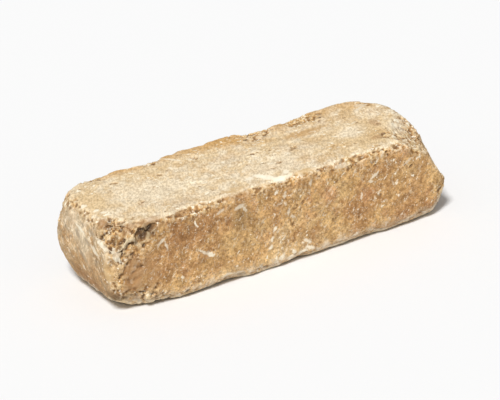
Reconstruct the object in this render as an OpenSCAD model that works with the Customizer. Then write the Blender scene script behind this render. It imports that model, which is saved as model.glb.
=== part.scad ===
// Tumbled garden wall block: one solid casting, laid on its wider bed face.
// Millimetres. The origin is the middle of the bottom bed. X runs along the
// block, Y from the front face to the back face, Z up.

/* [Block] */
// Length, end to end
block_length = 290; // [235:5:360]
// Width, front face to back face
block_width = 110; // [92:1:140]
// Height of the course, bed to bed
block_height = 70; // [58:1:90]
// How far the middle of each end swells out past its corners
end_swell = 4; // [0:0.5:8]

/* [Long edges: radius of the roll over the edge] */
// Along the top of the front face
top_front_roll = 5; // [3:1:14]
// Along the top of the back face
top_back_roll = 12; // [3:1:14]
// Along the bottom of the back face
bottom_back_roll = 8; // [3:1:14]
// Along the bottom of the front face
bottom_front_roll = 8; // [3:1:14]
// How far from each end the long edges start to wear away towards the corner
corner_reach = 56; // [48:1:80]

/* [Top corners: radius of the flat part, then radius of the roll over the edge] */
// Between the front face and the left end
top_front_left = [5, 8]; // [3:1:26]
// Between the front face and the right end
top_front_right = [4, 14]; // [3:1:26]
// Between the back face and the right end
top_back_right = [26, 12]; // [3:1:26]
// Between the back face and the left end
top_back_left = [25, 10]; // [3:1:26]

/* [Bottom corners: radius of the flat part, then radius of the roll under the edge] */
// Between the front face and the left end
bottom_front_left = [17, 15]; // [3:1:26]
// Between the front face and the right end
bottom_front_right = [4, 14]; // [3:1:26]
// Between the back face and the right end
bottom_back_right = [16, 13]; // [3:1:26]
// Between the back face and the left end
bottom_back_left = [20, 15]; // [3:1:26]

/* [Upright edges: radius at half height] */
// Between the front face and the left end
front_left_upright = 13; // [8:1:36]
// Between the front face and the right end
front_right_upright = 11; // [8:1:36]
// Between the back face and the right end
back_right_upright = 26; // [8:1:36]
// Between the back face and the left end
back_left_upright = 22; // [8:1:36]

/* [Chips and spalls knocked out of the block] */
// Scales the width of every chip
chip_width_scale = 1; // [0.7:0.05:1.2]
// Scales the depth of every chip
chip_depth_scale = 1; // [0.5:0.05:1.2]

/* [Hidden] */
// Sides of a full turn in the shapes that the hull wraps
$fn = 32;
// How far the swell of an end stays inside the front and back faces
swell_inset = 1;
// Share of the half height that the swell of an end takes up
swell_share = 0.84;

// Corners: which way each points in x, y and z, then its two radii
worn_corners = [
    [-1, -1, 1, top_front_left], [1, -1, 1, top_front_right],
    [1, 1, 1, top_back_right], [-1, 1, 1, top_back_left],
    [-1, -1, -1, bottom_front_left], [1, -1, -1, bottom_front_right],
    [1, 1, -1, bottom_back_right], [-1, 1, -1, bottom_back_left]
];
// Long edges: which way each points in y and z, then its roll
long_edges = [
    [-1, 1, top_front_roll], [1, 1, top_back_roll],
    [1, -1, bottom_back_roll], [-1, -1, bottom_front_roll]
];
// Upright edges: which way each points in x and y, then its radius
upright_edges = [
    [-1, -1, front_left_upright], [1, -1, front_right_upright],
    [1, 1, back_right_upright], [-1, 1, back_left_upright]
];

// Chips along the long edges: which edge, place along its straight stretch from
// -1 to 1, then the width and depth of the bite
long_edge_chips = [
    [0, -0.86, 24, 2], [0, -0.3, 26, 1.2], [0, 0.16, 18, 1], [0, 0.72, 28, 1.5],
    [1, -0.76, 36, 2.5], [1, -0.2, 22, 1.5], [1, 0.47, 62, 4],
    [2, -0.35, 30, 2.5], [2, 0.5, 24, 2],
    [3, -0.55, 30, 2.5], [3, 0.1, 20, 1.8], [3, 0.8, 26, 2]
];
// Chips along the upright edges: which edge, place over the middle of the
// height from -1 to 1, then the width and depth of the bite
upright_chips = [
    [0, 0.4, 18, 2.5], [0, -0.6, 16, 2], [1, -0.7, 20, 2],
    [2, -0.2, 26, 2.5], [3, 0.2, 20, 2]
];
// Share of the half height within which the upright edges are chipped
chip_zone = 0.5;
// Pieces broken off the corners: which of the worn corners, the way the break
// faces, then the width and depth of the bite
broken_corners = [
    [0, [-8, -5, 8], 68, 17], [1, [10, -1, 0], 90, 19], [1, [4, -1, 10], 140, 21]
];

// Radius of the ball that bites `depth` deep and `width` wide
function bite_radius(width, depth) = (width * width / 4 + depth * depth) / (2 * depth);

// How far a roll of this radius lies inside the sharp edge it wore away
function worn_back(radius) = (sqrt(2) - 1) * radius;

// Disc with a rolled rim, its flat face up at z = 0
module rolled_disc(flat_radius, roll_radius) {
    translate([0, 0, -roll_radius])
        rotate_extrude()
            intersection() {
                translate([flat_radius, 0])
                    circle(roll_radius);
                square([flat_radius + roll_radius, roll_radius]);
            }
}

// A corner: a rolled disc that touches the three faces it joins
module worn_corner(side_x, side_y, side_z, radii) {
    reach = radii[0] + radii[1];
    translate([side_x * (block_length / 2 - end_swell - reach),
            side_y * (block_width / 2 - reach), (1 + side_z) * block_height / 2])
        mirror([0, 0, (1 - side_z) / 2])
            rolled_disc(radii[0], radii[1]);
}

// The middle stretch of a long edge, which keeps one roll from end to end
module long_edge(side_y, side_z, roll) {
    translate([0, side_y * (block_width / 2 - roll), (1 + side_z) * block_height / 2 - side_z * roll])
        rotate([0, 90, 0])
            cylinder(h = block_length - 2 * corner_reach, r = roll, center = true);
}

// The swell of an end where it turns into a long face
module upright_edge(side_x, side_y, radius) {
    translate([side_x * (block_length / 2 - radius),
            side_y * (block_width / 2 - swell_inset - radius), block_height / 2])
        scale([radius, radius, swell_share * block_height / 2])
            rotate_extrude()
                intersection() {
                    circle(1);
                    translate([0, -1])
                        square([1, 2]);
                }
}

module worn_body() {
    hull() {
        for (c = worn_corners)
            worn_corner(c[0], c[1], c[2], c[3]);
        for (e = long_edges)
            long_edge(e[0], e[1], e[2]);
        for (u = upright_edges)
            upright_edge(u[0], u[1], u[2]);
    }
}

// Ball that bites a chip out of an edge or a corner; `sharp` is a point on it
// before it wore, and `outward` points away from the block there
module chip(sharp, outward, roll, width, depth) {
    radius = bite_radius(width * chip_width_scale, depth * chip_depth_scale);
    stand_off = radius - depth * chip_depth_scale - worn_back(roll);
    translate(sharp + outward / norm(outward) * stand_off)
        sphere(radius);
}

module chips() {
    for (c = long_edge_chips) {
        edge = long_edges[c[0]];
        x = c[1] * (block_length / 2 - corner_reach);
        chip([x, edge[0] * block_width / 2, (1 + edge[1]) * block_height / 2],
            [0, edge[0], edge[1]], edge[2], c[2], c[3]);
    }
    for (c = upright_chips) {
        edge = upright_edges[c[0]];
        z = (1 + c[1] * chip_zone) * block_height / 2;
        chip([edge[0] * block_length / 2, edge[1] * block_width / 2, z],
            [edge[0], edge[1], 0], edge[2], c[2], c[3]);
    }
    for (b = broken_corners) {
        corner = worn_corners[b[0]];
        chip([corner[0] * block_length / 2, corner[1] * block_width / 2,
                (1 + corner[2]) * block_height / 2],
            b[1], 0, b[2], b[3]);
    }
}

module wall_block() {
    color("burlywood")
        difference() {
            worn_body();
            chips();
        }
}

wall_block();
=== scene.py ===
"""Looks of the garden wall block: one casting of buff concrete, tumbled until its edges broke.

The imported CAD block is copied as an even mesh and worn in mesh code: hollows, chips along the
edges, crumbling stone, pits and the waves of the cast faces. The finish is one procedural
material, which also reads what the wear wrote on the mesh. Blender works in metres. Lengths
in this script are millimetres in the frame of the block, unless a comment says metres.
"""

import math
import random
from types import SimpleNamespace

import bpy
import numpy as np
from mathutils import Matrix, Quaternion, Vector, noise


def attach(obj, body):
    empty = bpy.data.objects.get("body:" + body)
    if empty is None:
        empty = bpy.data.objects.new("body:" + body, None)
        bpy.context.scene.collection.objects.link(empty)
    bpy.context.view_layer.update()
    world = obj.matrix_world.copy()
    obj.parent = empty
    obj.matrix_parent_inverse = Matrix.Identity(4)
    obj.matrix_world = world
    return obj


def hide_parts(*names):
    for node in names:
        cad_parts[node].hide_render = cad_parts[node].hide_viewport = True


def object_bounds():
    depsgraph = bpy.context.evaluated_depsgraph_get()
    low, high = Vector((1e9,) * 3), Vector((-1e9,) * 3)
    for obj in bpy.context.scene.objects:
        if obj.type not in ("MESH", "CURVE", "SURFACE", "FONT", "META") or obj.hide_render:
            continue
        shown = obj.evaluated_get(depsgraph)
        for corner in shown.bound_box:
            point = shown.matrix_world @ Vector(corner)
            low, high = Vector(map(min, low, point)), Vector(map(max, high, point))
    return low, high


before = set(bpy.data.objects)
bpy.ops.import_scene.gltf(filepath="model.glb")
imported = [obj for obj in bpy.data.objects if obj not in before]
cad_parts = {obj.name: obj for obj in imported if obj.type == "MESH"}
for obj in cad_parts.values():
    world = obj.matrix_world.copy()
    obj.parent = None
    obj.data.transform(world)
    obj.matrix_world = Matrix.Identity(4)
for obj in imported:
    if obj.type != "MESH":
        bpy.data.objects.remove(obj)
cad_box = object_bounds()

MM = 0.001
NODE = "wall_block"
PIECE = "tumbled_block"
# Opposite corners of the box that holds the CAD block
low = np.array(cad_box[0]) / MM
high = np.array(cad_box[1]) / MM

# ---------------------------------------------------------------- camera

# Where the camera stands round the block and how it is rolled, in degrees, how far off it
# stands, in metres, and its lens
AZIMUTH = -26.4
ELEVATION = 23.6
DISTANCE = 2.19
ROLL = -6.3
LENS = 209


def make_camera():
    """Stands the camera at the viewing angle, its axis through the middle of the block."""
    azimuth, elevation = math.radians(AZIMUTH), math.radians(ELEVATION)
    level = math.cos(elevation)
    back = Vector((math.sin(azimuth) * level, -math.cos(azimuth) * level, math.sin(elevation)))
    camera = bpy.data.objects.new("camera", bpy.data.cameras.new("camera"))
    camera.data.lens = LENS
    camera.location = Vector((low + high) / 2) * MM + back * DISTANCE
    camera.rotation_mode = "QUATERNION"
    roll = Quaternion((0, 0, 1), math.radians(ROLL))
    camera.rotation_quaternion = (-back).to_track_quat("-Z", "Y") @ roll
    bpy.context.scene.collection.objects.link(camera)
    bpy.context.scene.camera = camera


# ---------------------------------------------------------------- floor and light

# Side of the floor, in metres, then its shade, roughness and gloss
FLOOR_SIZE = 60
FLOOR_SHADE = 0.83
FLOOR_ROUGHNESS = 0.9
FLOOR_GLOSS = 0.1
# Brightness of the sky as it lights the block, and as the camera sees it
SKY = 0.34
BACKDROP = 0.965
# Where the sun shines from, its strength and how wide it is, in degrees
SUN_FROM = (-0.46, -0.56, 1)
SUN_STRENGTH = 3.2
SUN_WIDTH = 14


def make_floor():
    """A plain pale floor, which isn't part of the block."""
    bpy.ops.mesh.primitive_plane_add(size=FLOOR_SIZE)
    floor = bpy.context.object
    floor.name = "floor"
    material = bpy.data.materials.new("floor")
    material.use_nodes = True
    shader = material.node_tree.nodes["Principled BSDF"]
    shader.inputs["Base Color"].default_value = (FLOOR_SHADE, FLOOR_SHADE, FLOOR_SHADE, 1)
    shader.inputs["Roughness"].default_value = FLOOR_ROUGHNESS
    shader.inputs["Specular IOR Level"].default_value = FLOOR_GLOSS
    floor.data.materials.append(material)


def make_lights():
    """An even sky, and a soft sun in front of the block and to its left."""
    scene = bpy.context.scene
    scene.world = bpy.data.worlds.new("studio")
    scene.world.use_nodes = True
    tree = scene.world.node_tree
    sky = tree.nodes["Background"]
    sky.inputs["Color"].default_value = (1, 1, 1, 1)
    ray = tree.nodes.new("ShaderNodeLightPath")
    strength = tree.nodes.new("ShaderNodeMapRange")
    strength.inputs["To Min"].default_value = SKY
    strength.inputs["To Max"].default_value = BACKDROP
    tree.links.new(ray.outputs["Is Camera Ray"], strength.inputs["Value"])
    tree.links.new(strength.outputs["Result"], sky.inputs["Strength"])
    sun = bpy.data.objects.new("sun", bpy.data.lights.new("sun", "SUN"))
    sun.data.energy = SUN_STRENGTH
    sun.data.angle = math.radians(SUN_WIDTH)
    sun.rotation_mode = "QUATERNION"
    sun.rotation_quaternion = Vector(SUN_FROM).to_track_quat("Z", "Y")
    scene.collection.objects.link(sun)
    scene.view_settings.view_transform = "Standard"


# ---------------------------------------------------------------- mesh helpers

# Spacing of the even mesh, then how far and how often its facets are smoothed
VOXEL = 1.1
SMOOTHING = 0.5
SMOOTHINGS = 8


def even_copy(node):
    """A copy of a CAD node as an even mesh of small quads, its facets smoothed."""
    source = bpy.data.objects.new("even", node.data.copy())
    bpy.context.scene.collection.objects.link(source)
    remesh = source.modifiers.new("even", "REMESH")
    remesh.mode = "VOXEL"
    remesh.voxel_size = VOXEL * MM
    smooth = source.modifiers.new("smooth", "SMOOTH")
    smooth.factor = SMOOTHING
    smooth.iterations = SMOOTHINGS
    evaluated = source.evaluated_get(bpy.context.evaluated_depsgraph_get())
    mesh = bpy.data.meshes.new_from_object(evaluated)
    bpy.data.objects.remove(source)
    mesh.materials.clear()
    return mesh


def read(collection, name, width, kind=np.float32):
    """One value of every item in a mesh collection, as rows of this width."""
    found = np.empty(len(collection) * width, kind)
    collection.foreach_get(name, found)
    return found.reshape(-1, width)


def write(mesh, name, values):
    """Writes one number for each vertex, for the material to read."""
    attribute = mesh.attributes.new(name, "FLOAT", "POINT")
    attribute.data.foreach_set("value", values.astype(np.float32))


def spread(values, pairs, times):
    """Averages the vertices' values with their neighbours', so many times over."""
    count = np.bincount(pairs.ravel(), minlength=len(values))
    for _ in range(times):
        total = np.bincount(pairs[:, 0], values[pairs[:, 1]], len(values))
        total += np.bincount(pairs[:, 1], values[pairs[:, 0]], len(values))
        values = (values + total / count) / 2
    return values


def step(values, start, end):
    """0 up to start, 1 from end, and smooth between them."""
    t = np.clip((values - start) / (end - start), 0, 1)
    return t * t * (3 - 2 * t)


# How the octaves of a fractal weaken, and how much smaller each is than the last
FADE = 0.9
SHRINK = 2.0
# Scatters the middles of neighbouring cells, so that each draws its own number
SCATTER = 91.7


def far_off(seed):
    """A place far off in the noise, another for each seed."""
    return Vector((seed * 17.3, seed * 31.7, seed * 5.9))


def waves(points, size, octaves, seed):
    """Fractal noise about 0, its spread 1, its largest waves of this size."""
    start = far_off(seed)
    found = [noise.fractal(Vector(p) + start, FADE, SHRINK, octaves) for p in points / size]
    return np.array(found) / np.std(found)


def cells(points, size, seed):
    """Cells of this size: how far from the nearest middle, and a number from -1 to 1 each."""
    start = far_off(seed)
    distance, number = np.empty(len(points)), np.empty(len(points))
    for i, p in enumerate(points / size):
        distances, middles = noise.voronoi(Vector(p) + start)
        distance[i] = distances[0]
        number[i] = noise.cell(middles[0] * SCATTER)
    return distance, number


def stones(points, size, seed, reach=0.5, variety=0.5):
    """Round stones of this size, each about 1 high at its top and below 0 past its reach."""
    distance, number = cells(points, size, seed)
    return (1 - (distance / reach) ** 2).clip(-1, 1) * (0.6 + variety * number)


# ---------------------------------------------------------------- wear

# Waves in the surface: the size of the largest, how many octaves, and the seed
WAVES = {
    "broad": (46, 3, 1),
    "patchy": (14, 3, 2),
    "ragged": (6.5, 3, 5),
    "fine": (3.2, 3, 3),
    "gaps": (4.2, 2, 8),
}
# Lumps and grains of the crumbled stone, and pits in the faces: their size and their seed
LUMPS = (8, 4)
COARSE_GRAINS = (5, 1)
FINE_GRAINS = (2.8, 2)
PITS = (9, 3)
# Heights of the lumps and grains, and depth of the gaps between them
LUMP_HEIGHT = 2.2
COARSE_HEIGHT = 0.6
FINE_HEIGHT = 0.4
GAP_DEPTH = 1.1
# Depth of the pits in the faces, how much the ragged edges lose, height of the broad waves,
# and how far the whole surface sinks, which keeps the crests inside the CAD block
PIT_DEPTH = 0.9
EDGE_LOSS = 0.55
WAVE_HEIGHT = 0.28
SINK = 0.4
# How far waves roughen the hollows and the chips
HOLLOW_RAGGEDNESS = 0.8
CHIP_RAGGEDNESS = 0.22

# Chips knocked out of the edges: the seed of their places and shapes, then how many there
# are, with their least and greatest width
SEED = 7
CHIPS = [(800, 2, 4.5), (110, 4.5, 8), (14, 8, 14)]
# A chip's depth as a share of its width
CHIP_DEPTH = (0.07, 0.14)
# How far a chip may lean: at most CHIP_LEAN over its width, and never more than MOST_LEAN
CHIP_LEAN = 1.6
MOST_LEAN = 0.35

# Heights between which the wear and the painted shade under the top edges set in, and the paleness
# at the foot, partly painted light
UPPER = (35, 50)
FOOT = (20, 8)
# Balls within which the surface has broken down to crumbling stone: the centre, the radius
# and how lumpy the stone is
CRUMBLED = [
    ((-133, -46, 66), 17, 1),
    ((-128, -56, 53), 13, 1),
    ((-127, -56, 40), 12, 0.8),
    ((-130, -54, 28), 11, 0.6),
    ((-117, -57, 64), 12, 0.7),
    ((-128, -54, 5), 20, 0.9),
    ((-104, -55, 0), 12, 0.5),
    ((110, -36, 69), 14, 0.4),
    ((130, -26, 60), 16, 0.5),
    ((120, -46, 60), 12, 0.5),
    ((84, -56, 66), 10, 0.15),
    ((56, -56, 68), 9, 0.15),
    ((-70, -56, 68), 9, 0.2),
    ((30, 42, 70), 18, 0.6),
    ((70, 42, 70), 17, 0.5),
    ((-62, 54, 69), 17, 0.5),
    ((-104, 50, 66), 14, 0.4),
    ((132, 34, 66), 14, 0.5),
]
# Hollows that stones left when they fell out: the centre and radius of the ball
HOLLOWS = [
    ((-116, -57.5, 61), 6),
    ((-109, -57, 65), 5),
    ((-123, -57.5, 66), 4),
    ((-137, -40, 70), 4.5),
    ((-131, -47, 70), 4.5),
    ((-137, -52, 57), 4),
    ((-122, -57, 4), 4),
    ((-133, -54, 8), 4),
    ((-26, -57, 67), 3.5),
    ((86, -57, 68), 3),
    ((35, -57, 67), 3),
    ((110, -8, 73), 4),
]


def bite(points, centre, radius):
    """Pushes what lies inside a ball out to its surface, which may be rough."""
    away = points - centre
    distance = np.linalg.norm(away, axis=1)
    inside = distance < radius
    points[inside] = centre + away[inside] * (radius / distance)[inside, None]
    return inside


def chip(points, rest, normal, edge, crumbs):
    """Knocks the chips out of the edges, and tells which vertices they took."""
    draw = random.Random(SEED)
    taken = np.zeros(len(points))
    along = np.flatnonzero(edge > 0.5)
    for count, narrow, wide in CHIPS:
        for _ in range(count):
            i = along[draw.randrange(len(along))]
            width = draw.uniform(narrow, wide)
            depth = width * draw.uniform(*CHIP_DEPTH)
            lean = min(MOST_LEAN, CHIP_LEAN / width)
            outward = normal[i] + [draw.uniform(-lean, lean) for _ in range(3)]
            outward /= np.linalg.norm(outward)
            radius = (width * width / 4 + depth * depth) / (2 * depth)
            centre = rest[i] + outward * (radius - depth)
            taken[bite(points, centre, radius + crumbs)] = 1
    return taken


def crumbling(rest, normal, edge, near, wave):
    """How far the stone has crumbled at each vertex, and how lumpy it is, both from 0 to 1."""
    # Here and there, mostly on the edges, and more evenly just under the top edges
    rough = step(wave.patchy + 1.6 * edge, 1.5, 2.6) * 0.8
    under = near * step(rest[:, 2], *UPPER) * step(-normal[:, 2], -0.75, -0.5)
    rough = np.maximum(rough, 0.7 * under * step(wave.patchy, -1, 0.5))

    lumpy = np.zeros(len(rest))
    for centre, radius, lumpiness in CRUMBLED:
        distance = np.linalg.norm(rest - centre, axis=1) / radius
        inside = 1 - step(distance + 0.16 * wave.ragged, 0.6, 1.05)
        rough = np.maximum(rough, inside)
        lumpy = np.maximum(lumpy, inside * lumpiness)
    return rough, lumpy


def relief(rest, edge, rough, lumpy, wave):
    """How far each vertex stands out of the block."""
    # Lumps and grains that stand out of the crumbled stone, and the gaps between them
    bent = rest + 1.4 * np.stack([wave.patchy, wave.ragged, wave.broad], axis=1)
    lumps = stones(bent, *LUMPS, reach=0.55, variety=0.7)
    bent = rest + 0.7 * np.stack([wave.ragged, wave.patchy, wave.fine], axis=1)
    uneven = rough * (0.45 + 0.75 * step(wave.patchy, -1.2, 1))
    grainy = 0.1 + 0.9 * np.maximum(rough, 0.6 * edge)
    height = COARSE_HEIGHT * uneven * (stones(bent, *COARSE_GRAINS) - 0.5)
    height += LUMP_HEIGHT * lumpy * (lumps - 0.8)
    height += FINE_HEIGHT * grainy * (stones(bent, *FINE_GRAINS) - 0.5)
    height -= GAP_DEPTH * uneven * step(-wave.gaps, 0.9, 1.7)

    # Pits in the faces, one in the middle of some of the cells
    distance, number = cells(bent, *PITS)
    height -= PIT_DEPTH * step(number, 0.2, 0.9) * (1 - step(distance, 0.06, 0.2))

    # Ragged edges, the waves of the cast faces and the grain
    height -= EDGE_LOSS * edge * (wave.ragged + 0.3).clip(0, 2.5)
    height += WAVE_HEIGHT * wave.broad + (0.1 + 0.16 * edge) * wave.patchy
    height += (0.05 + 0.12 * rough) * wave.fine
    return height - SINK


def wear(mesh):
    """Breaks the block's edges, roughens its surface, and writes on the mesh where."""
    rest = read(mesh.vertices, "co", 3).astype(float) / MM
    normal = read(mesh.vertex_normals, "vector", 3).astype(float)
    pairs = read(mesh.edges, "vertices", 2, np.int32)
    wave = SimpleNamespace(**{name: waves(rest, *kind) for name, kind in WAVES.items()})

    # How far each vertex is on an edge, and in the ragged band along the edges
    edge = spread(step(1 - np.abs(normal).max(axis=1), 0.03, 0.17), pairs, 3)
    inset = np.sort(np.concatenate([rest - low, high - rest], axis=1), axis=1)[:, 1]
    near = np.maximum(1 - step(inset + 1.6 * wave.ragged, 4, 12), edge)

    points = rest.copy()
    for centre, radius in HOLLOWS:
        bite(points, centre, radius + HOLLOW_RAGGEDNESS * wave.ragged)
    taken = chip(points, rest, normal, edge, CHIP_RAGGEDNESS * wave.fine)
    rough, lumpy = crumbling(rest, normal, edge, near, wave)
    rough = np.maximum(rough, 0.45 * spread(taken, pairs, 2))
    points += normal * relief(rest, edge, rough, lumpy, wave)[:, None]
    points = np.clip(points, low, high)
    mesh.vertices.foreach_set("co", (points * MM).astype(np.float32).ravel())
    mesh.update()

    # For the material: how far each vertex stands out of its surroundings, how near it is to
    # the edges, how crumbled, how far it faces up, and how far its CAD face is a bed or an end
    bulge = points - np.stack([spread(c, pairs, 12) for c in points.T], axis=1)
    worn = read(mesh.vertex_normals, "vector", 3).astype(float)
    # The bulge lightens the crests and darkens the pits in the finish, in part as painted
    # highlight and painted shade
    write(mesh, "bulge", (bulge * normal).sum(axis=1))
    write(mesh, "near", near)
    write(mesh, "rough", spread(rough, pairs, 1))
    write(mesh, "sky", spread(worn[:, 2], pairs, 2))
    write(mesh, "bed", spread(np.abs(normal[:, 2]), pairs, 3))
    write(mesh, "end", spread(np.abs(normal[:, 0]), pairs, 3))


# ---------------------------------------------------------------- sheet for baked maps

# Side of the square sheet that the six sides are laid flat on
SHEET = 380
# Each side: which way it faces, the directions that run across and up its place on the sheet,
# and where the lower left corner of that place lies
SIDES = [
    ((0, 0, -1), (1, 0, 0), (0, -1, 0), (4, 4)),
    ((0, 0, 1), (1, 0, 0), (0, 1, 0), (4, 118)),
    ((0, -1, 0), (1, 0, 0), (0, 0, 1), (4, 232)),
    ((0, 1, 0), (-1, 0, 0), (0, 0, 1), (4, 306)),
    ((1, 0, 0), (0, 0, 1), (0, -1, 0), (298, 4)),
    ((-1, 0, 0), (0, 0, 1), (0, 1, 0), (298, 118)),
]


def unwrap(mesh):
    """Gives each face its place on the sheet, beside the others of the side it faces most."""
    facing, across, up, corner = (np.array(column, float) for column in zip(*SIDES))
    normals = read(mesh.polygon_normals, "vector", 3)
    sizes = read(mesh.polygons, "loop_total", 1, np.int32)[:, 0]
    side = np.repeat((normals @ facing.T).argmax(axis=1), sizes)
    vertex = read(mesh.loops, "vertex_index", 1, np.int32)[:, 0]
    place = read(mesh.vertices, "co", 3)[vertex] / MM
    box = np.array([low, high])
    places = []
    for direction in (across, up):
        start = (box @ direction.T).min(axis=0)
        places.append((place * direction[side]).sum(axis=1) - start[side])
    flat = (np.stack(places, axis=1) + corner[side]) / SHEET
    layer = mesh.uv_layers.new(name="OFBake")
    layer.data.foreach_set("uv", flat.astype(np.float32).ravel())


# ---------------------------------------------------------------- material

# Sockets of Blender's colour mix node, which shares their names with its other kinds
MIX_SHARE, MIX_A, MIX_B, MIX_RESULT = 0, 6, 7, 2


class Paint:
    """Adds shader nodes to one material, a call for each.

    A node is made after the nodes that it reads. The other way round, the renderer holds so
    many values at a time that it runs out of room and leaves the material out.
    """

    def __init__(self, name):
        self.material = bpy.data.materials.new(name)
        self.material.use_nodes = True
        self.tree = self.material.node_tree
        self.tree.nodes.clear()
        coordinates = self.node("ShaderNodeTexCoord")
        self.place = self.vector("MULTIPLY", coordinates.outputs["Object"], (1 / MM,) * 3)

    def node(self, kind, **settings):
        made = self.tree.nodes.new(kind)
        for name, value in settings.items():
            setattr(made, name, value)
        return made

    def put(self, socket, value):
        """Links a socket to another, or sets it to a number or a colour."""
        if isinstance(value, bpy.types.NodeSocket):
            self.tree.links.new(value, socket)
        else:
            socket.default_value = value

    def vector(self, operation, a, b):
        made = self.node("ShaderNodeVectorMath", operation=operation)
        self.put(made.inputs[0], a)
        self.put(made.inputs[1], b)
        return made.outputs["Vector"]

    def maths(self, operation, a, b):
        made = self.node("ShaderNodeMath", operation=operation)
        self.put(made.inputs[0], a)
        self.put(made.inputs[1], b)
        return made.outputs["Value"]

    def times(self, product, *factors):
        for factor in factors:
            product = self.maths("MULTIPLY", product, factor)
        return product

    def between(self, share, a, b):
        """A number that goes from a to b as the share goes from 0 to 1."""
        made = self.node("ShaderNodeMix", data_type="FLOAT")
        self.put(made.inputs["Factor"], share)
        self.put(made.inputs["A"], a)
        self.put(made.inputs["B"], b)
        return made.outputs["Result"]

    def mix(self, share, a, b, kind="MIX"):
        """The colour a with this share of b over it."""
        made = self.node("ShaderNodeMix", data_type="RGBA", blend_type=kind)
        self.put(made.inputs[MIX_SHARE], share)
        for index, colour in ((MIX_A, a), (MIX_B, b)):
            self.put(made.inputs[index], (*colour, 1) if isinstance(colour, tuple) else colour)
        return made.outputs[MIX_RESULT]

    def ramp(self, value, stops):
        """A colour from a row of (position, colour)."""
        made = self.node("ShaderNodeValToRGB")
        elements = made.color_ramp.elements
        while len(elements) < len(stops):
            elements.new(0.5)
        for element, (position, colour) in zip(elements, stops):
            element.position = position
            element.color = (*colour, 1)
        self.put(made.inputs["Fac"], value)
        return made.outputs["Color"]

    def attribute(self, name):
        return self.node("ShaderNodeAttribute", attribute_name=name).outputs["Fac"]

    def steps(self, value, start, end, before=0.0, after=1.0):
        """A number that goes smoothly from before to after as the value goes from start to end."""
        made = self.node("ShaderNodeMapRange", interpolation_type="SMOOTHSTEP")
        names = ("Value", "From Min", "From Max", "To Min", "To Max")
        for name, number in zip(names, (value, start, end, before, after)):
            self.put(made.inputs[name], number)
        return made.outputs["Result"]

    def mapping(self, place, middle, turn, sizes):
        """The place as seen from this middle, in these directions and units of these sizes."""
        made = self.node("ShaderNodeMapping", vector_type="TEXTURE")
        self.put(made.inputs["Vector"], place)
        self.put(made.inputs["Location"], middle)
        self.put(made.inputs["Rotation"], tuple(math.radians(a) for a in turn))
        self.put(made.inputs["Scale"], sizes)
        return made.outputs["Vector"]

    def moved(self, seed, turn=(0, 0, 0), stretch=(1, 1, 1), place=None):
        """A place for noise, far off for each seed, its waves turned and stretched."""
        return self.mapping(place or self.place, (seed * 10, seed * 20, seed * 30), turn, stretch)

    def noise(self, size, detail, place, roughness=0.55, output="Fac"):
        """Noise about 0.5, with waves of this size."""
        made = self.node("ShaderNodeTexNoise")
        self.put(made.inputs["Vector"], place)
        self.put(made.inputs["Scale"], 1 / size)
        self.put(made.inputs["Detail"], detail)
        self.put(made.inputs["Roughness"], roughness)
        return made.outputs[output]

    def warp(self, size, reach):
        """The place, moved to and fro by noise of this size, at most by half the reach."""
        swirl = self.noise(size, 2, self.moved(size), output="Color")
        swirl = self.vector("SUBTRACT", swirl, (0.5,) * 3)
        return self.vector("ADD", self.place, self.vector("MULTIPLY", swirl, (reach,) * 3))

    def grains(self, size, place):
        """Cells of this size: distance from the middle, and a random number for each."""
        made = self.node("ShaderNodeTexVoronoi")
        self.put(made.inputs["Vector"], place)
        self.put(made.inputs["Scale"], 1 / size)
        apart = self.node("ShaderNodeSeparateColor")
        self.put(apart.inputs["Color"], made.outputs["Color"])
        return made.outputs["Distance"], apart.outputs["Red"]

    def flecks(self, size, share, widest, place):
        """Separate flecks in this share of the cells; the widest is a share of its cell."""
        distance, number = self.grains(size, place)
        radius = self.steps(number, 1 - share, 1, 0, widest)
        return self.steps(self.maths("SUBTRACT", distance, radius), 0, -0.12)

    def spot(self, place, turn, sizes, soft, warped):
        """1 inside the ellipsoid of these half sizes, fading out to 0 at its rim."""
        inside = self.mapping(warped, place, turn, sizes)
        ball = self.node("ShaderNodeTexGradient", gradient_type="SPHERICAL")
        self.put(ball.inputs["Vector"], inside)
        return self.steps(ball.outputs["Fac"], 0, soft)

    def lay(self, spots, soft, warped, colour):
        """Paints a list of patches or marks over the colour."""
        for tint, strength, place, turn, sizes in spots:
            share = self.times(self.spot(place, turn, sizes, soft, warped), strength)
            colour = self.mix(share, colour, tint)
        return colour


# Colours of the concrete
TAN = (0.515, 0.315, 0.143)
OCHRE = (0.57, 0.375, 0.172)
BROWN = (0.39, 0.215, 0.095)
BUFF = (0.62, 0.435, 0.22)
RED = (0.49, 0.255, 0.13)
PINK_GREY = (0.56, 0.405, 0.235)
CREAM = (0.77, 0.67, 0.51)
SAND = (0.66, 0.495, 0.285)
STONE = (0.70, 0.53, 0.30)
ORANGE = (0.58, 0.345, 0.125)
RUST = (0.42, 0.225, 0.095)
# The painted shade in the gaps of the crumbled stone
GOLD = (0.33, 0.175, 0.065)
ASH = (0.37, 0.29, 0.20)
WHEAT = (0.75, 0.62, 0.41)
OLIVE = (0.41, 0.275, 0.13)
WHITE = (0.95, 0.87, 0.69)
# Dark brown for dirt and dark sand, and for painted shade in pits, in crevices and under the top
# edges
DIRT_AND_SHADE = (0.21, 0.115, 0.048)
# The darkest brown, for dark dots and for painted shade in the deepest pits and in hollows
DARK = (0.10, 0.06, 0.035)
# Tints that darken and lighten what they are multiplied with
SHADED = (0.69, 0.62, 0.53)
LIT = (1.31, 1.29, 1.23)
MOTTLE_DARK = (0.75, 0.70, 0.63)
MOTTLE_LIGHT = (1.18, 1.17, 1.15)

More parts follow.
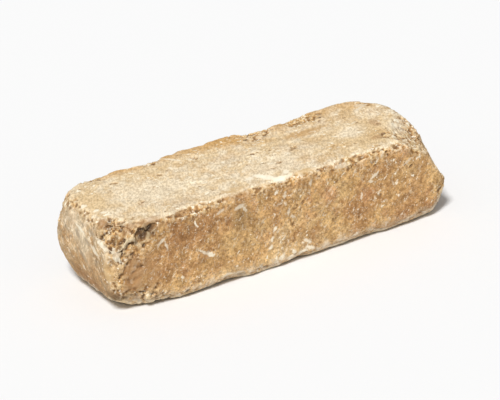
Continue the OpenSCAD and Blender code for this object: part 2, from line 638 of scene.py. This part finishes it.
# Broad patches and small marks: the colour, how strong it is, and where it lies, then the
# turn about each axis and the half sizes of the ellipsoid that holds it
PATCHES = [
    # The front face
    (BROWN, 0.9, (-68, -55, 53), (0, -30, 0), (28, 14, 14)),
    (BROWN, 0.5, (-100, -55, 26), (0, -60, 0), (22, 12, 10)),
    (OLIVE, 0.85, (-36, -55, 50), (0, 20, 0), (12, 9, 16)),
    (OCHRE, 0.7, (4, -55, 44), (0, 30, 0), (11, 9, 16)),
    (RED, 0.3, (20, -55, 34), (0, 0, 0), (11, 9, 8)),
    (RUST, 0.6, (54, -55, 32), (0, 15, 0), (13, 9, 10)),
    (RED, 0.6, (39, -55, 46), (0, 0, 0), (10, 9, 9)),
    (RED, 0.5, (70, -55, 37), (0, 0, 0), (10, 9, 7)),
    (BROWN, 0.25, (8, -55, 62), (0, 0, 0), (24, 9, 6)),
    (OCHRE, 0.5, (-38, -55, 20), (0, -20, 0), (20, 9, 10)),
    (OCHRE, 0.6, (104, -55, 46), (0, 0, 0), (18, 12, 16)),
    (BROWN, 0.35, (108, -55, 20), (0, 0, 0), (26, 10, 14)),
    (PINK_GREY, 0.4, (-112, -50, 10), (0, 0, 0), (16, 9, 9)),
    (BUFF, 0.5, (-40, -55, 8), (0, -4, 0), (60, 12, 8)),
    (STONE, 0.6, (4, -55, 12), (0, -10, 0), (26, 12, 11)),
    (STONE, 0.45, (-54, -55, 10), (0, -6, 0), (20, 12, 8)),
    (STONE, 0.6, (-6, -55, 24), (0, -50, 0), (20, 9, 11)),
    (STONE, 0.4, (20, -55, 27), (0, -30, 0), (9, 9, 7)),
    (STONE, 0.5, (28, -55, 14), (0, 0, 0), (9, 9, 7)),
    (STONE, 0.4, (50, -55, 13), (0, 0, 0), (11, 9, 7)),
    (STONE, 0.3, (110, -55, 47), (0, 0, 0), (10, 9, 9)),
    (RUST, 0.4, (80, -55, 29), (0, 0, 0), (11, 9, 8)),
    (STONE, 0.4, (14, -55, 55), (0, 0, 0), (9, 9, 9)),
    (OCHRE, 0.5, (80, -55, 46), (0, 0, 0), (14, 9, 9)),
    (OCHRE, 0.6, (-99, -55, 57), (0, 0, 0), (7, 9, 8)),
    (BROWN, 0.4, (-77, -55, 42), (0, 0, 0), (10, 9, 9)),
    (OLIVE, 0.5, (-28, -55, 29), (0, 0, 0), (10, 9, 8)),
    (OLIVE, 0.5, (-47, -55, 34), (0, 0, 0), (11, 9, 8)),
    (BUFF, 0.7, (11, -55, 36), (0, 30, 0), (9, 9, 14)),
    # The left end and the corner in front of it
    (PINK_GREY, 0.8, (-139, -50, 40), (-20, 0, 0), (9, 9, 20)),
    (CREAM, 0.7, (-143, -12, 46), (-40, 0, 0), (9, 12, 22)),
    (PINK_GREY, 0.9, (-139, -33, 64), (-30, 0, 0), (11, 9, 12)),
    (CREAM, 0.6, (-142, 8, 56), (0, 0, 0), (14, 32, 15)),
    (TAN, 0.7, (-142, -4, 22), (0, 0, 0), (9, 46, 20)),
    (BROWN, 0.8, (-142, -4, 12), (0, 0, 0), (9, 40, 15)),
    (ASH, 0.3, (-144, 0, 46), (0, 0, 0), (9, 14, 8)),
    (CREAM, 0.6, (-142, -27, 56), (-40, 0, 0), (6, 5, 9)),
    (RUST, 0.6, (-128, -55, 50), (0, 12, 0), (11, 12, 22)),
    (RUST, 0.5, (-131, -47, 66), (0, 0, 0), (9, 11, 8)),
    # The top bed
    (CREAM, 0.8, (-86, -6, 70), (0, 0, 70), (30, 36, 12)),
    (CREAM, 0.6, (10, -26, 70), (0, 0, 20), (34, 18, 12)),
    (SAND, 0.8, (-126, 8, 70), (0, 0, 0), (18, 36, 12)),
    (SAND, 0.5, (-60, 30, 70), (0, 0, 4), (60, 12, 12)),
    (SAND, 0.6, (30, 12, 70), (0, 0, 0), (22, 16, 12)),
    (SAND, 0.85, (88, -20, 70), (0, 0, -10), (52, 38, 12)),
    (OCHRE, 0.5, (100, -28, 70), (0, 0, 30), (14, 12, 8)),
    (OCHRE, 0.5, (64, -30, 70), (0, 0, 0), (16, 9, 8)),
    (OCHRE, 0.4, (100, 12, 70), (0, 0, 0), (14, 9, 8)),
    (OCHRE, 0.4, (54, -4, 70), (0, 0, 0), (16, 12, 8)),
    (CREAM, 0.9, (85, -11, 70), (0, 0, 20), (17, 15, 8)),
    (ORANGE, 0.9, (4, 46, 70), (0, 0, -6), (52, 26, 12)),
    (ORANGE, 0.9, (68, 41, 70), (0, 0, -2), (36, 22, 12)),
    (OCHRE, 0.6, (92, 21, 70), (0, 0, 0), (15, 10, 8)),
    (OCHRE, 0.9, (57, 13, 70), (0, 0, 0), (26, 9, 8)),
    (OCHRE, 0.6, (22, 19, 70), (0, 0, 0), (22, 8, 8)),
    (CREAM, 0.6, (60, 30, 70), (0, 0, 0), (14, 6, 6)),
    (OCHRE, 0.5, (48, -39, 70), (0, 0, 0), (12, 7, 8)),
    (CREAM, 0.8, (-12, 3, 70), (0, 0, 0), (18, 9, 8)),
    (OCHRE, 0.7, (-38, 42, 70), (0, 0, -6), (26, 10, 8)),
    (ORANGE, 0.9, (-74, 52, 70), (0, 0, 0), (60, 21, 12)),
    (SAND, 0.4, (-112, 38, 70), (0, 0, 50), (30, 10, 12)),
    (ORANGE, 0.6, (112, 36, 70), (0, 0, -20), (30, 15, 12)),
    (BROWN, 0.5, (109, -8, 70), (0, 0, 70), (10, 6, 8)),
    (BROWN, 0.5, (96, -34, 70), (0, 0, 0), (9, 5, 8)),
    # The break at the right end
    (CREAM, 0.9, (120, -22, 66), (0, 0, 40), (18, 12, 10)),
    (BROWN, 0.9, (137, -24, 57), (0, 0, 10), (9, 24, 10)),
]
MARKS = [
    # The top bed
    (WHITE, 0.8, (-17, -37, 70), (0, 0, 20), (4, 3, 4)),
    (WHITE, 0.9, (-9, -37, 70), (0, 0, -50), (6, 4, 4)),
    (WHITE, 0.95, (-5, -44, 70), (0, 0, -60), (8, 5, 4)),
    (WHITE, 0.95, (1, -51, 70), (0, 0, -20), (8, 5, 5)),
    (WHITE, 0.8, (10, -44, 70), (0, 0, 60), (5, 3, 4)),
    (WHITE, 0.5, (9, -51, 70), (0, 0, 0), (4, 3, 4)),
    (OCHRE, 0.6, (-36, -47, 70), (0, 0, 0), (12, 6, 5)),
    (OCHRE, 0.5, (-15, -53, 69), (0, 0, 0), (9, 3, 4)),
    (OCHRE, 0.8, (21, -52, 70), (0, 0, 0), (12, 5, 4)),
    (BROWN, 0.4, (-43, -54, 68), (0, 0, 0), (9, 4, 4)),
    (TAN, 0.5, (58, 13, 70), (0, 0, 0), (20, 7, 6)),
    (WHITE, 0.7, (-67, 43, 70), (0, 0, -8), (18, 1.8, 3)),
    (WHITE, 0.6, (-44, 36, 70), (0, 0, -60), (13, 1.6, 3)),
    (CREAM, 0.8, (116, 25, 70), (0, 0, 25), (9, 2, 3)),
    (CREAM, 0.6, (119, 30, 70), (0, 0, 0), (7, 4, 4)),
    (WHITE, 0.8, (-134, 4, 70), (0, 0, 0), (3, 4, 3)),
    (WHITE, 0.8, (-131, -11, 70), (0, 0, 30), (3, 3, 3)),
    (WHITE, 0.8, (-128, -18, 70), (0, 0, 0), (2.5, 3, 3)),
    (DARK, 0.8, (17, 31, 69), (0, 0, 0), (2, 1.8, 3)),
    (DARK, 0.8, (82, 31, 69), (0, 0, 0), (2.6, 1.8, 3)),
    # The break at the right end
    (CREAM, 0.35, (125, -19, 66), (0, 0, 40), (15, 9, 9)),
    (WHITE, 0.8, (126, -25, 65), (0, 0, -30), (5, 2.4, 4)),
    (WHITE, 0.8, (119, -31, 67), (0, 0, 60), (5, 2.4, 4)),
    (WHITE, 0.8, (126, -10, 66), (0, 0, 10), (4, 2.4, 4)),
    (WHITE, 0.7, (120, -17, 67), (0, 0, 30), (6, 3, 4)),
    (OLIVE, 0.7, (122, -41, 60), (0, 0, 30), (8, 3, 5)),
    (OLIVE, 0.6, (128, -33, 60), (0, 0, -30), (6, 3, 4)),
    (DIRT_AND_SHADE, 0.45, (133, -25, 59), (0, 0, 60), (7, 3, 4)),
    (WHITE, 0.7, (110, -38, 69), (0, 0, 20), (7, 3, 4)),
    (WHITE, 0.7, (114, -29, 69), (0, 0, 50), (6, 3, 4)),
    # The front face
    (BROWN, 0.4, (-28, -55, 66), (0, 0, 0), (9, 4, 4)),
    (CREAM, 0.9, (-101, -55, 51), (0, -38, 0), (7, 3, 1.7)),
    (CREAM, 0.9, (-98, -55, 47), (0, 75, 0), (6, 3, 1.7)),
    (WHITE, 0.85, (-64, -55, 29), (0, 30, 0), (4.5, 3, 2.6)),
    (CREAM, 0.8, (-69, -55, 32.5), (0, 38, 0), (7, 3, 1.5)),
    (WHITE, 0.8, (-9, -55, 32), (0, -60, 0), (4, 3, 1.6)),
    (WHITE, 0.8, (-12, -55, 25), (0, -65, 0), (3, 3, 1.5)),
    (WHITE, 0.8, (-14, -55, 19), (0, -50, 0), (3, 3, 1.8)),
    (CREAM, 0.7, (4, -55, 43), (0, -70, 0), (5, 3, 1.4)),
    (CREAM, 0.7, (7, -55, 38), (0, 40, 0), (3.5, 3, 1.4)),
    (WHITE, 0.7, (17, -55, 15), (0, 40, 0), (5, 3, 1.8)),
    (CREAM, 0.7, (24, -55, 60), (0, -80, 0), (4, 3, 1.4)),
    (CREAM, 0.7, (2, -55, 57), (0, -70, 0), (4, 3, 1.6)),
    (CREAM, 0.7, (-52, -55, 60), (0, -25, 0), (5, 3, 1.5)),
    (CREAM, 0.8, (-36, -55, 59), (0, -10, 0), (6, 3, 2)),
    (CREAM, 0.7, (-32, -55, 56), (0, 60, 0), (4, 3, 1.5)),
    (WHITE, 0.7, (79, -55, 50), (0, -30, 0), (6, 3, 1.5)),
    (WHITE, 0.6, (75, -55, 46), (0, 20, 0), (3, 3, 1.5)),
    (CREAM, 0.6, (108, -55, 53), (0, -25, 0), (8, 3, 1.3)),
    (WHITE, 0.6, (66, -55, 37), (0, -80, 0), (4, 3, 1.6)),
    (CREAM, 0.8, (135, -52, 14), (0, -62, 0), (12, 5, 1.3)),
    (BROWN, 0.4, (86, -55, 63), (0, 0, 0), (10, 5, 5)),
    (CREAM, 0.6, (52, -55, 66), (0, 0, 0), (8, 5, 3)),
    # The foot of the front face
    (DARK, 0.9, (95, -54, 4), (0, -15, 0), (5, 4, 1.8)),
    (WHITE, 0.8, (19, -55, 9), (0, 30, 0), (4, 5, 2.4)),
    (WHITE, 0.9, (12, -55, 7), (0, -20, 0), (5, 5, 3)),
    (WHITE, 0.8, (5, -55, 10), (0, 50, 0), (3, 5, 2)),
    (WHITE, 0.8, (2, -55, 6), (0, 0, 0), (5, 5, 2.4)),
    (WHITE, 0.7, (-6, -55, 9), (0, -40, 0), (4, 5, 2)),
    (CREAM, 0.8, (-42, -55, 7), (0, 10, 0), (6, 5, 2.4)),
    (CREAM, 0.8, (-53, -55, 8), (0, -20, 0), (5, 5, 2.4)),
    (BROWN, 0.5, (86, -55, 7), (0, 0, 0), (12, 6, 5)),
    # The left end
    (WHITE, 0.8, (-142, -37, 55), (-76, 0, 0), (4, 2, 11)),
    (ASH, 0.8, (-143, 1, 51), (-60, 0, 0), (6, 2.6, 6)),
    (ASH, 0.6, (-143, -5, 60), (-78, 0, 0), (6, 1.6, 6)),
    (ASH, 0.7, (-143, -16, 50), (-72, 0, 0), (6, 2.2, 8)),
    (ASH, 0.7, (-143, -22, 59), (-76, 0, 0), (6, 1.8, 7)),
    (ASH, 0.6, (-145, -10, 37), (-65, 0, 0), (6, 2.4, 9)),
    (WHITE, 0.8, (-143, -3, 56), (-80, 0, 0), (6, 1.7, 11)),
    (WHITE, 0.7, (-143, -28, 47), (-65, 0, 0), (6, 2.4, 9)),
    (TAN, 0.5, (-145, -20, 39), (0, 0, 0), (5, 9, 8)),
    # The broken corner between the front face and the left end
    (OCHRE, 0.4, (-116, -44, 70), (0, 0, 0), (10, 6, 4)),
    (BROWN, 0.5, (-118, -55, 30), (0, 0, 0), (18, 8, 20)),
    (BROWN, 0.8, (-127, -54, 31), (0, 8, 0), (10, 10, 22)),
    (BROWN, 0.5, (-127, -50, 9), (0, 0, 0), (9, 9, 7)),
    (WHITE, 0.75, (-139, -46, 54), (-36, -28, 0), (3, 2.4, 7)),
    (WHITE, 0.75, (-136, -51, 45), (-20, -40, 0), (3, 2, 7)),
    # Painted shade in a hollow and in the crevices along the top of the corner
    (DARK, 0.6, (-113, -54, 62), (0, -20, 0), (12, 8, 7)),
    (DIRT_AND_SHADE, 0.5, (-135, -36, 69), (0, 0, 0), (5, 7, 5)),
    (DIRT_AND_SHADE, 0.4, (-126, -50, 69), (0, 0, 0), (7, 5, 4)),
    (BROWN, 0.6, (-109, -51, 69), (0, 0, 0), (14, 5, 4)),
    # Painted shade in a crevice
    (DIRT_AND_SHADE, 0.5, (-111, -53, 68), (0, 0, 10), (7, 3, 3)),
    (BROWN, 0.5, (-116, -50, 70), (0, 0, 0), (8, 4, 4)),
    (RUST, 0.5, (-128, -50, 66), (0, 0, 0), (6, 5, 5)),
    (BROWN, 0.7, (-126, -50, 69), (0, 0, 0), (8, 6, 5)),
    (CREAM, 0.7, (-136, -53, 51), (0, 0, 0), (4, 5, 6)),
    # Painted shade in a crevice
    (DARK, 0.7, (-137, -40, 65), (39, 0, 0), (5, 8, 1.8)),
    (BROWN, 0.4, (-131, -48, 63), (0, 0, 0), (7, 6, 6)),
    (BROWN, 0.9, (-136, -32, 69), (0, 0, 0), (6, 9, 6)),
    # Painted shade in a crevice
    (DARK, 0.5, (-135, -36, 69), (0, 0, 60), (6, 2.4, 5)),
    (WHEAT, 0.8, (-131, -54, 57), (0, 30, 0), (7, 7, 8)),
    (WHEAT, 0.9, (-126, -55, 58), (0, 0, 0), (4, 5, 5)),
    (CREAM, 0.9, (-139, -47, 56), (0, 0, 0), (5, 6, 7)),
    (OCHRE, 0.8, (-143, -47, 36), (0, 0, 0), (5, 7, 9)),
    # A painted shadow low on the broken corner, by the foot
    (DIRT_AND_SHADE, 0.7, (-141, -43, 14), (0, 0, 0), (8, 10, 10)),
    (WHEAT, 0.7, (-121, -55, 56), (0, -30, 0), (3, 5, 6)),
    # Painted shade in crevices
    (DARK, 0.6, (-130, -45, 69), (0, 0, 30), (7, 4, 5)),
    (DARK, 0.5, (-134, -44, 62), (0, 0, 0), (4, 4, 8)),
]


# Turns that slant the noise on the long sides, the white strokes across them, and the noise
# on the ends and on the beds
SIDE_SLANT = (0, 45, 0)
STROKE_SLANT = (0, 42, 0)
END_SLANT = (-68, 0, 0)
BED_SLANT = (0, 0, -24)
# White flecks of two sizes: their size, how high the noise is where they begin, and how strong
# they are
FLECKS = [(4.2, 0.6, 0.85), (2.4, 0.61, 0.7)]
# The finish: its least and greatest roughness, its gloss, and the height of its fine bumps
DULLNESS = (0.82, 0.98)
GLOSS = 0.25
BUMP_HEIGHT = 0.6


class Concrete(Paint):
    """Buff concrete: mottled browns, pale beds and crests, dark pits, white flecks, the crests and
    pits partly painted highlight and painted shade.

    The sides come first. Each other layer takes the colour so far and returns it with the
    layer on it.
    """

    def __init__(self, name):
        super().__init__(name)
        # What the wear wrote on the mesh, and the height over the bottom bed
        self.bulge = self.attribute("bulge")
        self.near = self.attribute("near")
        self.rough = self.attribute("rough")
        self.sky = self.attribute("sky")
        self.bed = self.steps(self.attribute("bed"), 0.62, 0.9)
        self.end = self.steps(self.attribute("end"), 0.55, 0.9)
        apart = self.node("ShaderNodeSeparateXYZ")
        self.put(apart.inputs["Vector"], self.place)
        self.height = apart.outputs["Z"]
        self.broken = self.maths("MAXIMUM", self.near, self.rough)
        # The place, swirled loosely and closely
        self.loose = self.warp(7, 9)
        self.close = self.warp(3, 3.4)
        self.speckle = self.steps(self.noise(2.6, 4, self.moved(2), 0.75), 0.34, 0.66)

    def off_beds(self, left=0.0):
        """1 off the beds, and this much on them."""
        return self.steps(self.bed, 0, 1, 1, left)

    def sides(self):
        """Mottled browns with a reddish blush."""
        clouds = self.noise(26, 4, self.moved(1, SIDE_SLANT, (1, 1, 1.7)), 0.6)
        colour = self.ramp(clouds, [(0.34, BROWN), (0.47, TAN), (0.58, OCHRE), (0.7, BUFF)])
        blush = self.steps(self.noise(19, 3, self.moved(40)), 0.55, 0.68, 0, 0.45)
        return self.mix(blush, colour, RED)

    def ends(self, colour):
        """Greyer ends, with whitish and ashen blotches."""
        tan = self.steps(self.noise(14, 3, self.moved(45)), 0.4, 0.6)
        greyer = self.mix(tan, PINK_GREY, TAN)
        slanted = self.moved(50, END_SLANT, (1, 1, 1.7), self.loose)
        whiter = self.steps(self.noise(5, 4, slanted, 0.65), 0.45, 0.6, 0, 0.9)
        whiter = self.times(whiter, self.steps(self.height, 14, 55, 0.4, 1))
        greyer = self.mix(whiter, greyer, CREAM)
        slanted = self.moved(55, END_SLANT, (1, 1, 1.7), self.loose)
        ashen = self.steps(self.noise(6, 4, slanted, 0.65), 0.5, 0.64, 0, 0.75)
        greyer = self.mix(ashen, greyer, ASH)
        return self.mix(self.times(self.end, 0.9), colour, greyer)

    def beds(self, colour):
        """Pale beds, with sandy blots, whiter smears and stains, worn thin in places."""
        sandy = self.noise(6, 4, self.moved(80, BED_SLANT, (1, 2.2, 1)), 0.6)
        pale = self.mix(self.steps(sandy, 0.38, 0.62, 0.05, 0.75), CREAM, SAND)
        smears = self.noise(12, 4, self.moved(90), 0.6)
        pale = self.mix(self.steps(smears, 0.5, 0.66, 0, 0.4), pale, WHITE)
        stains = self.noise(15, 4, self.moved(75, stretch=(1, 1.4, 1)), 0.6)
        pale = self.mix(self.steps(stains, 0.54, 0.68, 0, 0.5), pale, OCHRE)
        thin = self.steps(self.noise(24, 5, self.moved(70), 0.62), 0.34, 0.56, 0.72, 1)
        return self.mix(self.times(self.bed, thin), colour, pale)

    def dust_and_painted_highlight(self, colour):
        """Dust on the crests and a painted highlight on them, most of all where they face up."""
        dust_and_painted_light = self.steps(self.bulge, 0.06, 0.34, 0, 0.75)
        # Painted highlight: the crests are paler still where they face up
        dust_and_painted_light = self.times(dust_and_painted_light, self.steps(self.sky, 0.25, 0.7, 0.25, 1))
        return self.mix(dust_and_painted_light, colour, CREAM)

    def patches(self, colour):
        """The broad patches, their rims softer than those of the marks."""
        return self.lay(PATCHES, 0.7, self.loose, colour)

    def crumbled(self, colour):
        """Grains of the crumbled stone, pale on top and golden between, partly as painted
        highlight on the lumps and painted shade in the gaps.
        """
        _, shade = self.grains(3.2, self.moved(9, place=self.close))
        grain = self.ramp(shade, [(0.1, RUST), (0.5, ORANGE), (0.8, STONE), (0.95, WHEAT)])
        # Painted highlight on the lumps
        grain = self.mix(self.steps(self.bulge, 0.05, 0.35, 0, 0.85), grain, WHEAT)
        # Painted shade in the gaps between the lumps
        grain = self.mix(self.steps(self.bulge, 0, -0.35, 0, 0.9), grain, GOLD)
        return self.mix(self.times(self.rough, 0.75), colour, grain)

    def mottling(self, colour):
        """Lighter and darker blots."""
        mottle = self.noise(8, 3, self.moved(8, SIDE_SLANT, (1, 1, 1.6)), 0.75)
        tint = self.mix(self.steps(mottle, 0.3, 0.7), MOTTLE_DARK, MOTTLE_LIGHT)
        return self.mix(self.off_beds(0.4), colour, tint, "MULTIPLY")

    def speckled(self, colour):
        """Lighter and darker speckle, finer on the beds, and fainter on beds and ends."""
        finer = self.noise(1.6, 2, self.moved(6, BED_SLANT, (1, 2.4, 1)), 0.6)
        both = self.between(self.bed, self.speckle, self.steps(finer, 0.34, 0.66))
        tint = self.mix(both, SHADED, LIT)
        faint = self.maths("MAXIMUM", self.times(self.bed, 0.45), self.times(self.end, 0.4))
        return self.mix(self.steps(faint, 0, 1, 1, 0), colour, tint, "MULTIPLY")

    def strokes(self, colour):
        """Fine pale strokes across the long sides."""
        slanted = self.moved(11, STROKE_SLANT, (1, 1, 4), self.loose)
        strokes = self.steps(self.noise(1.7, 2, slanted, 0.5), 0.58, 0.7, 0, 0.55)
        gathered = self.steps(self.noise(15, 2, self.moved(12)), 0.4, 0.6, 0.15, 1)
        off_ends = self.steps(self.end, 0, 0.6, 1, 0.1)
        sound = self.steps(self.rough, 0, 0.5, 1, 0)
        share = self.times(strokes, gathered, off_ends, sound, self.off_beds(0.2))
        return self.mix(share, colour, CREAM)

    def dirt_and_painted_shade(self, colour):
        """Dirt and painted shade in the pits, darkest in the deepest."""
        # Painted shade with dirt: the deeper the pit, the darker
        colour = self.mix(self.steps(self.bulge, -0.08, -0.34, 0, 0.65), colour, DIRT_AND_SHADE)
        return self.mix(self.steps(self.bulge, -0.4, -1, 0, 0.7), colour, DARK)

    def sand(self, colour):
        """Grains of dark and pale sand."""
        covered = self.maths("MAXIMUM", self.times(self.bed, 0.6), self.times(self.end, 0.3))
        bare = self.steps(covered, 0, 1, 1, 0)
        grains = self.steps(self.noise(1.3, 1, self.moved(21), 0.5), 0.4, 0.32, 0, 0.6)
        colour = self.mix(self.times(grains, bare), colour, DIRT_AND_SHADE)
        grains = self.steps(self.noise(1.5, 1, self.moved(22), 0.5), 0.62, 0.72, 0, 0.4)
        return self.mix(self.times(grains, bare), colour, CREAM)

    def white_flecks(self, colour):
        """White flecks, gathered in drifts."""
        drifts = self.steps(self.noise(17, 2, self.moved(30)), 0.42, 0.6, 0.1, 1)
        for size, least, strength in FLECKS:
            flecks = self.noise(size, 3, self.moved(size, STROKE_SLANT, (1, 1, 1.5)), 0.6)
            flecks = self.steps(flecks, least, least + 0.07, 0, strength)
            colour = self.mix(self.times(flecks, drifts), colour, WHITE)
        return colour

    def crumbs(self, colour):
        """Dark brown pits and pale crumbs in the broken stone, the pits darkest and the crumbs
        faintest under the top edges, which is painted shade there.
        """
        # Under the top edges, where painted shade darkens the pits and dims the pale crumbs
        under = self.times(self.steps(self.height, *UPPER), self.steps(self.sky, 0.7, 0.45))
        pits = self.flecks(3.3, 0.6, 0.5, self.moved(15, place=self.close))
        share = self.times(pits, self.broken, self.steps(under, 0, 1, 0.25, 0.75))
        colour = self.mix(share, colour, DIRT_AND_SHADE)
        pale = self.flecks(2.8, 0.55, 0.5, self.moved(13, place=self.close))
        share = self.times(pale, self.broken, self.steps(under, 0, 1, 0.75, 0.3))
        return self.mix(share, colour, WHITE)

    def foot(self, colour):
        """Pale dust along the edges at the foot, partly painted light on the edges that face down.
        """
        # Painted light with the dust: the foot's edges that face partly down are lightened
        foot = self.times(self.steps(self.height, *FOOT), self.steps(self.sky, -0.9, -0.5))
        dust_and_painted_light = self.steps(self.noise(5, 3, self.moved(17), 0.6), 0.4, 0.6, 0.1, 0.8)
        return self.mix(self.times(foot, self.near, dust_and_painted_light), colour, CREAM)

    def marks(self, colour):
        """The small marks, broken up a little by the speckle."""
        marked = self.lay(MARKS, 0.5, self.close, colour)
        return self.mix(self.steps(self.speckle, 0, 1, 0.8, 1), colour, marked)

    def finish(self, colour):
        """Puts the colour on a dull, grainy surface."""
        shader = self.node("ShaderNodeBsdfPrincipled")
        self.put(shader.inputs["Base Color"], colour)
        dull = self.steps(self.noise(6, 3, self.moved(33)), 0.3, 0.7, *DULLNESS)
        self.put(shader.inputs["Roughness"], dull)
        self.put(shader.inputs["Specular IOR Level"], GLOSS)
        bump = self.node("ShaderNodeBump")
        self.put(bump.inputs["Height"], self.noise(1.3, 5, self.moved(3), 0.7))
        self.put(bump.inputs["Strength"], self.off_beds(0.2))
        self.put(bump.inputs["Distance"], BUMP_HEIGHT * MM)
        self.put(shader.inputs["Normal"], bump.outputs["Normal"])
        out = self.node("ShaderNodeOutputMaterial")
        self.put(out.inputs["Surface"], shader.outputs["BSDF"])


def concrete():
    """The material, its layers laid in this order."""
    paint = Concrete("tumbled_concrete")
    colour = paint.sides()
    for layer in (
        paint.ends,
        paint.beds,
        paint.dust_and_painted_highlight,
        paint.patches,
        paint.crumbled,
        paint.mottling,
        paint.speckled,
        paint.strokes,
        paint.dirt_and_painted_shade,
        paint.sand,
        paint.white_flecks,
        paint.crumbs,
        paint.foot,
        paint.marks,
    ):
        colour = layer(colour)
    paint.finish(colour)
    return paint.material


# ---------------------------------------------------------------- the block


def make_block():
    """The worn and painted block, which stands in for the CAD one."""
    mesh = even_copy(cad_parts[NODE])
    unwrap(mesh)
    wear(mesh)
    mesh.materials.append(concrete())
    mesh.shade_smooth()
    block = bpy.data.objects.new(PIECE, mesh)
    bpy.context.scene.collection.objects.link(block)
    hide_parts(NODE)
    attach(block, "root")


make_camera()
make_floor()
make_lights()
make_block()
